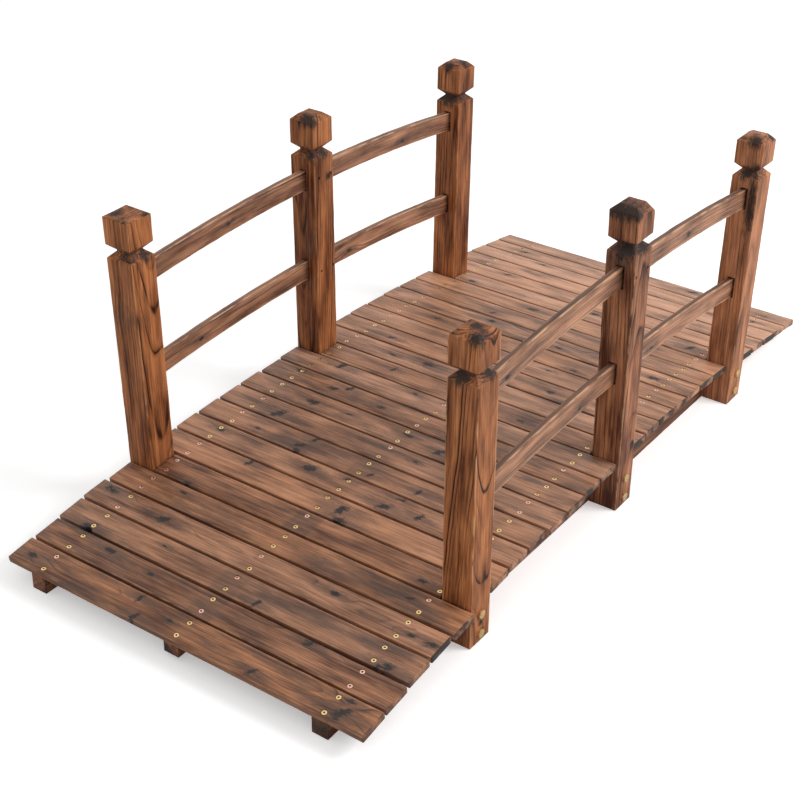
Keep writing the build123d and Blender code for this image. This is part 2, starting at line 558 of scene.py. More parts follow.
def knot_group():
    """A knot in a bar of fir: how it bends the rings around it, its burnt core and the smear around it."""
    nodes, given = node_group("Knot", {"Place": ORIGIN, "Middle": ORIGIN, "Size": 0.0, "Turn": 0.0},
                              ("Bend", "Core", "Smear"))
    size = given["Size"]
    away = nodes.vector("SUBTRACT", given["Place"], given["Middle"])
    ragged = nodes.noise(given["Place"], (0.09, 0.20, 0.20), detail=4.0, roughness=0.6, output="Color")
    ragged = nodes.vector("SUBTRACT", ragged, HALF)
    rough = nodes.vector("ADD", away, nodes.scaled(ragged, size * 3.0))
    turned = nodes.value(0, "ShaderNodeVectorRotate", {"Vector": rough, "Angle": given["Turn"]},
                         rotation_type="Z_AXIS")
    core = nodes.fall(nodes.length(turned, (0.50, 1.15, 0.25)) / size, 0.45, 1.15)
    smear = nodes.fall(nodes.length(rough, (0.22, 0.9, 0.25)) / size, 0.7, 1.9)
    spread = nodes.length(away, (0.25, 1.0, 0.2)) / (size * 1.6)
    bell = nodes.math("EXPONENT", spread ** 2.0 * -1.0)
    nodes.add("NodeGroupOutput", {"Bend": bell * (size * 0.8), "Core": core, "Smear": smear})


def burn_group():
    """A ragged charred spot in a bar of fir."""
    nodes, given = node_group("Burn", {"Place": ORIGIN, "Middle": ORIGIN, "Radius": 0.0, "Squeeze": 1.0},
                              ("Char",))
    away = nodes.vector("SUBTRACT", given["Place"], given["Middle"])
    away = nodes.length(away, nodes.point(given["Squeeze"], 1.0, 1.0)) / given["Radius"]
    ragged = nodes.noise(given["Place"], (0.06, 0.30, 0.30), detail=5.0, roughness=0.7)
    spot = nodes.fall(away + (ragged - 0.5) * 2.4, 0.45, 1.45)
    nodes.add("NodeGroupOutput", {"Char": spot * 0.96})


def fir_group(finish):
    """A bar of scorched fir, in millimetres along, across and through it.

    The rings are cylinders about a wandering pith, so lines on the faces and arcs on the ends agree.
    """
    nodes, given = node_group("Scorched Fir", FIR_INPUTS, ("Color", "Roughness", "Height"))
    seed = given["Seed"]
    place = nodes.vector("ADD", given["Place"], nodes.point(seed * 1730.0, seed * 710.0, seed * 370.0))
    here = nodes.parts(given["Place"])
    half = nodes.parts(given["Half Size"])
    off_side = half["Y"] - abs(here["Y"])
    off_face = half["Z"] - abs(here["Z"])

    # Growth rings
    wander = nodes.noise(place, (0.0045, 0.016, 0.016), output="Color")
    wander = nodes.parts(nodes.vector("SUBTRACT", wander, HALF))
    pith_side = given["Pith Side"] + here["X"] * given["Taper"]
    pith_depth = given["Pith Depth"] + here["X"] * given["Depth Taper"]
    side = here["Y"] + wander["X"] * given["Warp"] - pith_side
    depth = here["Z"] + wander["Y"] * given["Warp"] - pith_depth
    radius = nodes.math("SQRT", side ** 2.0 + depth ** 2.0) + given["Ring Shift"]
    uneven = nodes.value("Fac", "ShaderNodeTexNoise", {"W": radius * 0.13, "Scale": 1.0},
                         noise_dimensions="1D")
    ring = (radius + uneven * 6.5) / given["Ring Spacing"]
    line = nodes.curve(nodes.math("FRACT", ring),
                       ((0.0, 0.25), (0.08, 0.0), (0.55, 0.06), (0.76, 0.38), (0.90, 1.0), (1.0, 0.25)))
    vigour = nodes.value("Value", "ShaderNodeTexWhiteNoise", {"W": nodes.math("FLOOR", ring) + seed},
                         noise_dimensions="1D")
    patchy = nodes.rise(nodes.noise(place, (0.010, 0.07, 0.07)), 0.32, 0.62)
    vigour = nodes.blend(vigour, 0.20, 1.0) * nodes.blend(patchy, 0.30, 1.0)
    line = nodes.math("MULTIPLY", line * vigour, given["Lines"], clamp=True)

    # Fibres and cloudy tone
    fibre = nodes.noise(place, (0.012, 0.80, 0.80), detail=4.0, roughness=0.7)
    streak = nodes.noise(place, (0.004, 0.20, 0.20), detail=3.0)
    cloud = nodes.noise(place, (0.010, 0.045, 0.045), detail=3.0)
    # The near face can be darkened by a tone of its own: painted shade on the face turned away from the lamp
    near_side = nodes.fall(half["Y"] + here["Y"], 0.8, 2.2)
    head = nodes.fall(half["X"] - here["X"], 58.0, 64.0)
    tone = given["Tone"] + near_side * given["Near Side Tone"] + head * given["Head Tone"]
    for pattern, strength in ((fibre, 1.9), (streak, 0.9), (cloud, 1.8)):
        tone = tone + (pattern - 0.5) * strength
    tone = nodes.math("MINIMUM", nodes.most(tone, 0.0), 1.3)
    colour = nodes.mix(tone, opaque(finish.brown), opaque(finish.pale), clamp_factor=False)
    colour = nodes.mix(line, colour, opaque(finish.late))

    # Orange stain on the sawn sides, where the torch did not reach
    sawn = nodes.fall(off_side, 1.0, 2.0) * nodes.rise(off_face, 0.9, 2.4)
    stained = nodes.mix(0.75, colour, opaque(finish.stain))
    colour = nodes.mix(sawn * given["Side Stain"], colour, stained)

    # Worn edges
    rubbed = nodes.rise(nodes.noise(place, (0.03, 0.12, 0.12), detail=3.0), 0.38, 0.62)
    rubbed = rubbed * nodes.fall(nodes.most(off_side, off_face), 0.6, 3.0)
    colour = nodes.mix(rubbed * given["Edge Wear"], colour, opaque(finish.bare))

    # Smoke from the torch
    smoke = nodes.noise(place, (0.009, 0.035, 0.035), detail=5.0, roughness=0.6)
    smoke = nodes.rise(smoke + (given["Smoke"] - 0.5) * 0.45, 0.50, 0.78)
    smoke = nodes.most(smoke, given["Smear"] * nodes.blend(fibre, 0.35, 1.1))
    colour = nodes.mix(smoke, colour, nodes.mix(0.72, colour, opaque(finish.smoke)))
    colour = nodes.value(0, "ShaderNodeHueSaturation", {"Color": colour, "Hue": given["Hue"],
                                                        "Saturation": given["Saturation"]})

    # Char at knots, in notches, at the ends and on top
    burn = nodes.noise(place, (0.035, 0.035, 0.035), detail=4.0, roughness=0.6)
    inset = nodes.rise(nodes.math("MINIMUM", off_side, off_face), 1.3, 3.0)
    char = nodes.most(given["Knot"], inset * nodes.rise(burn + given["Notch Char"], 0.88, 1.12))
    for sign, name in ((-1.0, "Low End Char"), (1.0, "High End Char")):
        at_end = nodes.fall(half["X"] - here["X"] * sign, 1.3, 2.2)
        char = nodes.most(char, at_end * nodes.rise(burn + given[name], 0.88, 1.12))
    on_top = nodes.fall(half["Y"] - here["Y"], 0.7, 1.7) * nodes.fall(here["Z"], 1.6, 3.2)
    char = nodes.most(char, on_top * nodes.blend(cloud, 0.55, 1.3) * given["Top Char"])
    char = nodes.math("MULTIPLY", char, nodes.blend(fibre, 0.8, 1.15), clamp=True)
    colour = nodes.mix(char, colour, opaque(finish.char))

    nodes.add("NodeGroupOutput", {"Color": colour, "Roughness": fibre * 0.16 + 0.42 + char * 0.15,
                                  "Height": line * -0.30 + fibre * 0.35})


def fir(node, middle, along, across, size, knots=(), patches=(), burns=(), arc=0.0, shine=0.35, **look):
    """Scorched fir for one bar: its middle, the ways it runs along and across, its size and its own looks.

    All places are in millimetres from the bar's middle. Knots lie along and across it with a size and a
    turn out of the grain, patches are scorched lengths with a half length and a strength, and burns are
    charred spots along, across and through it with a radius, and how many times as long as wide they are
    where they run with the grain. An arc bends the grain with an arched bar.
    """
    material, nodes = new_material(f"Fir of {node}")
    turn = Matrix((along, across, along.cross(across).normalized())).transposed().to_euler()
    coordinates = nodes.value("Object", "ShaderNodeTexCoord")
    place = nodes.value(0, "ShaderNodeMapping", {"Vector": coordinates, "Location": middle, "Rotation": turn,
                                                 "Scale": (MM, MM, MM)}, vector_type="TEXTURE")
    if arc:
        sag = nodes.parts(place)["X"] ** 2.0 / (2.0 * arc / MM)
        place = nodes.vector("ADD", place, nodes.point(0.0, sag, 0.0))
    bend, core, smear = 0.0, 0.0, 0.0
    for knot_along, knot_across, knot_size, knot_turn in knots:
        knot = nodes.group("Knot", {"Place": place, "Middle": (knot_along, knot_across, 0.0),
                                    "Size": knot_size, "Turn": math.radians(knot_turn)})
        bend = knot["Bend"] + bend
        core = nodes.most(core, knot["Core"])
        smear = nodes.most(smear, knot["Smear"])
    for patch_along, reach, strength in patches:
        off = abs(nodes.parts(place)["X"] - patch_along)
        smear = nodes.most(smear, nodes.fall(off, reach - 5.0, reach + 5.0) * strength)
    for burn_along, burn_across, burn_through, radius, *length in burns:
        burn = nodes.group("Burn", {"Place": place, "Middle": (burn_along, burn_across, burn_through),
                                    "Radius": radius, "Squeeze": 1.0 / length[0] if length else 1.0})
        core = nodes.most(core, burn["Char"])
    told = {key.replace("_", " ").title(): value for key, value in look.items()}
    wood = nodes.group("Scorched Fir", {"Place": place, "Half Size": Vector(size) / 2 / MM,
                                        "Ring Shift": bend, "Knot": core, "Smear": smear, **told})
    bump = nodes.value(0, "ShaderNodeBump", {"Height": wood["Height"], "Distance": MM, "Strength": 1.0})
    nodes.finish({"Base Color": wood["Color"], "Roughness": wood["Roughness"], "Specular IOR Level": shine,
                  "Normal": bump})
    return material


def metal(name, colour, dull=0.85):
    """Plated steel with a cloudy, slightly dull finish."""
    material, nodes = new_material(name)
    place = nodes.scaled(nodes.value("Object", "ShaderNodeTexCoord"), 1 / MM)
    cloud = nodes.noise(place, (0.35, 0.35, 0.35), detail=3.0)
    shade = nodes.mix(nodes.rise(cloud, 0.35, 0.70), opaque(colour), opaque(Vector(colour) * dull))
    nodes.finish({"Base Color": shade, "Roughness": cloud * 0.25 + 0.25, "Metallic": 0.9})
    return material


def arc_height(radius, crown, x):
    """Height of an arc about mid-span, at a place along it."""
    return crown - radius + math.sqrt(radius**2 - x**2)


def arched_plank(name, radius, crown, x_from, x_to, section, y):
    """An upright plank with an arched top and bottom.

    Its section is spun about the arc's centre, a little past both ends, and then cut plumb there.
    """
    thickness, height = section
    start = math.asin(x_from / radius) - SPIN_MARGIN
    end = math.asin(x_to / radius) + SPIN_MARGIN
    bpy.ops.object.select_all(action="DESELECT")
    bpy.ops.mesh.primitive_plane_add(size=1.0, rotation=(math.pi / 2, 0.0, math.pi / 2))
    piece = taken(name)
    put(piece, Matrix.Diagonal((1.0, thickness, height, 1.0)))
    put(piece, Matrix.Translation((0.0, 0.0, radius - height / 2)))
    put(piece, Matrix.Rotation(start, 4, "Y"))
    put(piece, Matrix.Translation((0.0, y, crown - radius)))
    shape(piece)
    divide(piece, UP, 2)
    bpy.ops.mesh.select_all(action="SELECT")
    steps = max(8, round((x_to - x_from) / SPIN_STEP))
    bpy.ops.mesh.spin(steps=steps, angle=start - end, center=(0.0, y, crown - radius), axis=ALONG_Y)
    saw_off((x_from, y, crown), -ALONG_X)
    saw_off((x_to, y, crown), ALONG_X)
    done()
    return piece


class Board:
    """Where one board of the deck lies, read from its node and the deck's arc."""
    # Metres from the middle line to each row of screws, and how far left the row wanders at the far end
    SCREW_ROWS = ((0.2695, 0.006), (0.0, 0.004), (-0.2695, 0.004))
    SCREWS_ASTRAY = (0.0009, 0.0012)  # metres that screws lie off, along and across the bridge
    SCREW_TIP = 0.12  # radians that a screw may be tipped

    def __init__(self, node):
        deck = settings("deck")
        self.node = node
        self.number = int(node.rsplit("_", 1)[1])
        low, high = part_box(node)
        self.middle = (low + high) / 2
        self.tilt = math.asin(self.middle.x / (deck.radius - deck.board_thickness / 2))
        spread = high.x - low.x - deck.board_thickness * abs(math.sin(self.tilt))
        self.size = Vector((spread / math.cos(self.tilt), high.y - low.y, deck.board_thickness))
        chance = random.Random(100 + self.number)
        self.turn = chance.uniform(-deck.turn, deck.turn) if self.number in BOARD_ENDS else 0.0
        left, right = BOARD_ENDS.get(self.number, (0.0, 0.0))
        self.trims = (-right * MM, -left * MM)
        self.narrower = chance.uniform(-0.3, 1.2) * deck.sawing
        self.astray = chance.uniform(-0.4, 0.4) * deck.sawing
        self.chance = chance

    def matrix(self):
        """Place of the board's middle in the frame."""
        return pose(self.middle, (self.tilt, "Y"), (self.turn, "Z"))

    def screws(self):
        """Place on the top surface, depth and tip of each of the board's screws, in three wandering rows."""
        fasteners = settings("fasteners")
        chance = random.Random(500 + self.number)
        share = self.middle.x / abs(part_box(BOARD_NODES[0])[0].x)
        found = []
        for y, wander in self.SCREW_ROWS:
            for direction in (-1, 1):
                x = direction * fasteners.screw_spacing / 2 + chance.gauss(0.0, self.SCREWS_ASTRAY[0])
                y_off = y + wander * share - self.middle.y + chance.gauss(0.0, self.SCREWS_ASTRAY[1])
                spot = self.matrix() @ Vector((x, y_off, self.size.z / 2))
                found.append((spot, chance.uniform(0.3, 1.0) * fasteners.sink,
                              chance.uniform(-self.SCREW_TIP, self.SCREW_TIP)))
        return found


class FOOTBRIDGE_OT_boards(bpy.types.Operator):
    """Lay the worn cross boards of the deck, with a countersunk hole for each screw"""
    bl_idname = "footbridge.boards"
    bl_label = "Deck boards"
    CUTS = ((ALONG_Y, 62), (ALONG_X, 4))  # cuts that give a board enough points to be worn
    HOLE_MARGIN = 0.0016  # metres that a hole's cutter is longer than twice the deepest sink
    NOTCHED_BOARD = "deck_board_03"
    NOTCH_PLACE = 0.267  # metres to the left of the deck's middle line
    NOTCH_SIZE = 0.006
    NOTCH_SHAPE = (0.9, 1.3, 1.0, 1.0)  # longer along the board than across it
    NOTCH_DEPTH = 0.04

    def execute(self, context):
        deck = settings("deck")
        fasteners = settings("fasteners")
        whole = Board(BOARD_NODES[0])
        blank = block("board_blank", whole.size)
        shape(blank)
        for axis, cuts in self.CUTS:
            divide(blank, axis, cuts)
        done()
        ease(blank, deck.board_edge)
        hole = rod("hole", 14, fasteners.countersink / 2, 2 * fasteners.sink + self.HOLE_MARGIN)
        for node in BOARD_NODES:
            board = Board(node)
            piece = copy_of(blank, f"finished_{node}")
            length = board.size.y - sum(board.trims)
            piece.scale = ((board.size.x - board.narrower) / whole.size.x, length / whole.size.y, 1.0)
            piece.location = (board.astray, (board.trims[0] - board.trims[1]) / 2, 0.0)
            settle(piece)
            put(piece, board.matrix())
            wear(piece, deck.wear)
            holes = []
            for spot, _, _ in board.screws():
                holes.append(copy_of(hole, "hole"))
                put(holes[-1], pose(spot, (board.tilt, "Y")))
            if node == self.NOTCHED_BOARD:
                holes.append(self.notch(board))
            cut(piece, join(holes, "holes"))
            finish_piece(piece, node, self.wood(board), 40.0)
        discard(blank, hole)
        return {"FINISHED"}

    def notch(self, board):
        """A cutter for the place where a knot has dropped out of a board's near edge."""
        cutter = rod("notch", 9, self.NOTCH_SIZE, self.NOTCH_DEPTH)
        put(cutter, Matrix.Diagonal(self.NOTCH_SHAPE))
        spot = Vector((-board.size.x / 2, self.NOTCH_PLACE - board.middle.y, 0.0))
        put(cutter, pose(board.matrix() @ spot, (board.tilt, "Y")))
        return cutter

    def wood(self, board):
        """The fir of one board, with its own grain, knots and scorch."""
        chance = board.chance
        turned = board.matrix().to_3x3()
        middle = board.middle + Vector((0.0, (board.trims[0] - board.trims[1]) / 2, 0.0))
        size = (board.size.y - sum(board.trims), board.size.x - board.narrower, board.size.z)
        knots = list(BOARD_KNOTS.get(board.number, ()))
        if not knots:
            knots = [(chance.uniform(-300, 300), chance.uniform(-18, 18), chance.uniform(4.0, 7.5),
                      chance.choice((0, 0, 20, 70))) for _ in range(chance.choice((2, 3, 4)))]
        scorched = SCORCHED_BOARDS.get(board.number, 0.0)
        patches = ((chance.uniform(-8, 8), 24.0, scorched),) if scorched else ()
        return fir(board.node, middle, turned @ ALONG_Y, turned @ ALONG_X, size, knots, patches,
                   # Tone and saturation also carry painted sheen: lighter and greyer towards the far end, on
                   # top of each board's own tone
                   shine=0.42, seed=float(board.number), tone=BOARD_TONES_AND_SHEEN[board.number - 1],
                   saturation=chance.uniform(0.88, 0.98) - 0.004 * board.number,
                   pith_side=chance.choice((-1, 1)) * chance.uniform(5, 80),
                   pith_depth=chance.uniform(-60, -22), taper=chance.uniform(-0.04, 0.04),
                   ring_spacing=chance.uniform(1.7, 2.6), warp=6.0,
                   lines=chance.uniform(0.8, 1.25), smoke=chance.uniform(0.38, 0.72),
                   side_stain=0.0 if board.number in (1, 27) else chance.uniform(0.35, 0.95),
                   low_end_char=chance.uniform(0.40, 0.64), high_end_char=0.45, edge_wear=0.4)


class FOOTBRIDGE_OT_stringers(bpy.types.Operator):
    """Shape the three arched stringers that carry the boards"""
    bl_idname = "footbridge.stringers"
    bl_label = "Stringers"
    KNOTS = ((-640.0, -20.0, 9.0, 0.0),)
    EDGE = 0.0015
    WEAR = 0.0006

    def execute(self, context):
        deck = settings("deck")
        for index, node in enumerate(STRINGER_NODES):
            low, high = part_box(node)
            middle = (low + high) / 2
            piece = arched_plank(f"finished_{node}", deck.radius - deck.board_thickness,
                                 deck.crown - deck.board_thickness, low.x, high.x,
                                 (high.y - low.y, high.z + SAWN_OFF), middle.y)
            shape(piece)
            saw_off(low, -UP)
            done()
            ease(piece, self.EDGE)
            wear(piece, self.WEAR)
            size = (high.x - low.x, high.z - low.z, high.y - low.y)
            material = fir(node, middle, ALONG_X, UP, size, self.KNOTS, seed=40.0 + index, tone=0.15,
                           pith_depth=-30.0, lines=0.7, smoke=0.6, low_end_char=0.45, high_end_char=0.45,
                           edge_wear=0.3)
            finish_piece(piece, node, material, 40.0)
        return {"FINISHED"}


class Post:
    """Where one post stands, how it leans and how high its shoulder is."""
    LEANS = {"left": (-1.8, -1.2, -0.2), "right": (-1.0, -1.9, 0.9)}  # degrees, near, middle and far post
    SHIFTS = {"far_right_post": -0.003}  # metres that a post stands off the middle of its short board
    BOARDS = ("deck_board_06", "deck_board_14", "deck_board_22")

    def __init__(self, node):
        deck, posts = settings("deck"), settings("posts")
        self.node = node
        self.place, self.side = POSTS[node]
        self.index = PLACES.index(self.place)
        self.lean = math.radians(self.LEANS[self.side][self.index])
        tilt = Board(self.BOARDS[self.index]).tilt
        low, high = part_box(node)
        self.pivot = Vector((deck.radius * math.sin(tilt) + self.SHIFTS.get(node, 0.0), (low.y + high.y) / 2,
                             deck.crown - deck.radius + deck.radius * math.cos(tilt)))
        self.shoulder = posts.middle_shoulder if self.place == "middle" else posts.end_shoulder

    def matrix(self):
        """Turn about the deck's surface from an upright post to the leaning one."""
        return pose(self.pivot, (self.lean, "Y")) @ Matrix.Translation(-self.pivot)

    def axis_x(self, z):
        """Place of the post's axis along the bridge, at a height."""
        return self.pivot.x + math.tan(self.lean) * (z - self.pivot.z)


class FOOTBRIDGE_OT_posts(bpy.types.Operator):
    """Shape the six posts with their necks, caps, mortises and holes"""
    bl_idname = "footbridge.posts"
    bl_label = "Posts"

    # Each cap's flat width and rise, what its front, left, right and back corners gain in height, all in
    # millimetres, and how strongly its top and the notches are charred
    CAPS = {"near_left_post": (42, 4, (3, 3, 3, 3), 0.42, 0.45),
            "middle_left_post": (28, 9.5, (0, 0, 0, 0), 0.36, 0.45),
            "far_left_post": (30, 9.5, (0, 0, -1, 0), 0.36, 0.45),
            "near_right_post": (31, 8.5, (0, 0, 0, 0), 0.45, 0.42),
            "middle_right_post": (29, 11, (2.5, 2, -6, 0), 0.42, 0.52),
            "far_right_post": (29, 8, (0, -1, -3, 0), 0.40, 0.44)}
    CORNERS = ((-1, -1), (-1, 1), (1, -1), (1, 1))
    MORTISE_END = 0.0005  # metres that a mortise reaches past a rail's end
    MORTISE_DEPTH = 0.0004  # metres that a mortise reaches below a rail
    MORTISE_EDGE = 0.002
    HOLE_SIZE = (0.0028, 0.012)  # radius and depth of a small hole's cutter
    LEVEL = 0.0002  # metres within which a vertex counts as lying at a height
    SHAFT_LENGTH = 0.1  # metres beyond which an upright edge belongs to the shaft
    SHAFT_CUTS, CAP_CUTS, SIDE_CUTS = 40, 3, 3  # cuts that give a post enough points to be worn

    # Charred spots along, across and through each post, with their radius and, in one, its length
    BURNS = {
        "near_left_post": ((198, 0, 0, 21), (190, 8, -18, 12), (255, -8, 14, 11)),
        "middle_left_post": ((211, 0, 0, 21), (269, -19, -8, 16), (267, -22, -20, 11), (204, 5, -20, 12),
                             (204, -20, -15, 9), (160, 12, -26, 7)),
        "far_left_post": ((198, 0, 0, 21), (190, -20, 0, 16), (254, -21, 2, 10)),
        "near_right_post": ((198, 0, 0, 20), (-207, 2, -26, 7), (-224, 2, -26, 6), (-242, 2, -26, 7),
                            (254, -19, -16, 13), (258, 5, 0, 10), (192, -18, 5, 15), (192, 10, -18, 11)),
        "middle_right_post": ((211, 0, 0, 20), (268, -22, 12, 18), (268, -22, -6, 18), (267, -22, -20, 13),
                              (204, -18, -8, 17), (204, 5, -20, 15)),
        "far_right_post": ((198, 0, 0, 20), (200, -24, -18, 15), (251, -22, -9, 12), (253, 14, -20, 9),
                           (192, -18, 0, 14), (138, -29, -16, 9, 7.0)),
    }

    # Small holes in the right-hand face of a post: millimetres towards the far end and above the ground
    HOLES = {"middle_left_post": ((-13, 434), (19, 434), (-13, 257), (20, 257)),
             "middle_right_post": ((-20, 433), (17, 437))}

    # The fir of each post: a pith to the left or right of it gives stripes on its near face. A near-face
    # painted shade darkens the near face of the middle posts, turned away from the lamp
    LOOKS = {
        "near_left_post": {
            "tone": 0.56, "pith_side": 8.0, "pith_depth": 48.0, "taper": 0.03, "depth_taper": -0.05,
            "ring_spacing": 5.2, "lines": 1.5, "smoke": 0.38, "edge_wear": 0.6,
            "knots": ((90, -20, 5, 0), (-205, 20, 8, 0))},
        "middle_left_post": {
            "tone": 0.44, "near_side_tone": -0.16, "head_tone": 0.2, "pith_side": -52.0, "pith_depth": 5.0,
            "taper": 0.06, "ring_spacing": 5.4, "lines": 1.6, "smoke": 0.38, "edge_wear": 0.5,
            "knots": ((165, 12, 5, 0), (-20, 8, 4, 0))},
        "far_left_post": {
            "tone": 0.44, "pith_side": -45.0, "pith_depth": -20.0, "taper": -0.03, "ring_spacing": 5.2,
            "lines": 1.6, "smoke": 0.42, "edge_wear": 0.5, "knots": ((60, -8, 5, 0),)},
        "near_right_post": {
            "tone": 0.56, "pith_side": 4.0, "pith_depth": 42.0, "taper": 0.02, "depth_taper": -0.09,
            "ring_spacing": 5.0, "lines": 1.7, "smoke": 0.36, "edge_wear": 1.0,
            "knots": ((-225, -20, 5, 0), (-120, 8, 4, 0))},
        "middle_right_post": {
            "tone": 0.38, "near_side_tone": -0.06, "saturation": 0.97, "pith_side": 12.0, "pith_depth": 52.0,
            "taper": -0.03, "depth_taper": 0.05, "ring_spacing": 5.6, "lines": 1.7, "smoke": 0.46,
            "edge_wear": 0.6, "knots": ((190, -22, 5, 0),)},
        "far_right_post": {
            "tone": 0.61, "saturation": 0.98, "pith_side": -10.0, "pith_depth": 46.0, "taper": 0.02,
            "depth_taper": 0.03, "ring_spacing": 5.6, "lines": 1.2, "smoke": 0.40, "edge_wear": 0.6,
            "knots": ((150, -12, 6, 0),)},
    }

    def execute(self, context):
        for node in POSTS:
            self.make_post(Post(node), settings("posts"))
        return {"FINISHED"}

    def make_post(self, post, posts):
        neck_low = post.shoulder + posts.neck_slope
        neck_high = neck_low + posts.neck_band
        cap_low = neck_high + posts.neck_slope
        cap_high = cap_low + posts.cap_side
        flat, rise, raises, cap_char, neck_char = self.CAPS[post.node]
        top = cap_high + rise * MM
        foot = -BELOW_GROUND
        axis = (post.pivot.x, post.pivot.y, top)
        piece = block(f"finished_{post.node}", (posts.width, posts.width, top - foot),
                      (post.pivot.x, post.pivot.y, (top + foot) / 2))
        shape(piece)
        for height in (post.shoulder, neck_low, neck_high, cap_low, cap_high):
            bpy.ops.mesh.select_all(action="SELECT")
            bpy.ops.mesh.bisect(plane_co=(0.0, 0.0, height), plane_no=(0.0, 0.0, 1.0))
        for low, high, width in ((neck_low, neck_high, posts.neck_width), (top, top, flat * MM)):
            pick(piece, "verts", lambda vertex: low - self.LEVEL < vertex.co.z < high + self.LEVEL)
            share = width / posts.width
            bpy.ops.transform.resize(value=(share, share, 1.0), center_override=axis)
        for (x, y), gain in zip(self.CORNERS, raises):
            pick(piece, "verts", lambda vertex: abs(vertex.co.z - cap_high) < self.LEVEL
                 and x * (vertex.co.x - post.pivot.x) > 0 and y * (vertex.co.y - post.pivot.y) > 0)
            bpy.ops.transform.translate(value=(0.0, 0.0, gain * MM))
        pick(piece, "edges", lambda edge: runs_along(edge, UP) and edge.calc_length() > self.SHAFT_LENGTH)
        bpy.ops.mesh.subdivide(number_cuts=self.SHAFT_CUTS)
        pick(piece, "edges", lambda edge: runs_along(edge, UP) and cap_low < middle_of(edge).z < cap_high)
        bpy.ops.mesh.subdivide(number_cuts=self.CAP_CUTS)
        for axis in (ALONG_X, ALONG_Y):
            divide(piece, axis, self.SIDE_CUTS)
        done()
        ease(piece, posts.edge)
        put(piece, post.matrix())
        shape(piece)
        saw_off((0.0, 0.0, 0.0), -UP)
        done()
        for mortise in self.mortises(post):
            cut(piece, mortise)
        for x, height in self.HOLES.get(post.node, ()):
            cut(piece, self.hole(post, posts, x * MM, height * MM))
        wear(piece, posts.wear)
        turned = post.matrix().to_3x3()
        middle = post.matrix() @ Vector((post.pivot.x, post.pivot.y, (top + foot) / 2))
        look = {"hue": 0.496, "saturation": 1.05, **self.LOOKS[post.node]}
        size = (top - foot, posts.width, posts.width)
        seed = 60.0 + 3.7 * post.index + 11.0 * SIDES[post.side]
        material = fir(post.node, middle, turned @ UP, turned @ ALONG_X, size, look.pop("knots"),
                       burns=self.BURNS[post.node], shine=0.18, seed=seed,
                       notch_char=max(cap_char, neck_char), low_end_char=0.3, high_end_char=cap_char, **look)
        finish_piece(piece, post.node, material)

    def hole(self, post, posts, x, height):
        """A cutter for a small hole in the post's right-hand face."""
        spot = (post.axis_x(height) + x, post.pivot.y - posts.width / 2, height)
        return rod("hole", 10, *self.HOLE_SIZE, spot, (math.pi / 2, 0.0, 0.0))

    def mortises(self, post):
        """Rail-shaped cutters at each rail that enters the post."""
        rails = settings("rails")
        room = rails.mortise_room
        found = []
        for node, (bay, side, level) in RAILS.items():
            if side == post.side and post.place in BAYS[bay]:
                low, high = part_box(node)
                crown = getattr(rails, f"{level}_crown")
                section = (rails.mortise_width, rails.height + room + self.MORTISE_DEPTH)
                cutter = arched_plank("mortise", rails.radius + room, crown + room, low.x - self.MORTISE_END,
                                      high.x + self.MORTISE_END, section, post.pivot.y)
                ease(cutter, self.MORTISE_EDGE)
                found.append(cutter)
        return found


class FOOTBRIDGE_OT_rails(bpy.types.Operator):
    """Shape the eight arched rails"""
    bl_idname = "footbridge.rails"
    bl_label = "Rails"
    TONES = {"left": (0.46, 0.2), "right": (0.50, 0.65)}  # tone, and how charred the top is, on each side

    def execute(self, context):
        for node, (_, side, level) in RAILS.items():
            self.make_rail(node, side, level, settings("rails"))
        return {"FINISHED"}

    def make_rail(self, node, side, level, rails):
        low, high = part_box(node)
        x, y = (low.x + high.x) / 2, (low.y + high.y) / 2
        crown = getattr(rails, f"{level}_crown")
        piece = arched_plank(f"finished_{node}", rails.radius, crown, low.x, high.x,
                             (rails.thickness, rails.height), y)
        ease(piece, rails.edge)
        wear(piece, rails.wear)
        start, middle, end = (arc_height(rails.radius, crown, place) for place in (low.x, x, high.x))
        along = Vector((high.x - low.x, 0.0, end - start)).normalized()
        chance = random.Random(node)
        knots = [(chance.uniform(-170, 170), chance.uniform(-12, 12), chance.uniform(3.0, 5.0), 0)]
        tone, top_char = self.TONES[side]
        material = fir(node, Vector((x, y, middle - rails.height / 2)), along,
                       along.cross(ALONG_Y).normalized(), (high.x - low.x, rails.height, rails.thickness),
                       knots, arc=rails.radius, seed=chance.uniform(100, 200), tone=tone, saturation=0.88,
                       pith_side=chance.uniform(-60, 60), pith_depth=-40.0,
                       taper=chance.uniform(-0.04, 0.04), ring_spacing=chance.uniform(2.2, 3.0), lines=1.2,
                       smoke=0.42, low_end_char=0.5, high_end_char=0.5, edge_wear=1.0, top_char=top_char)
        finish_piece(piece, node, material)


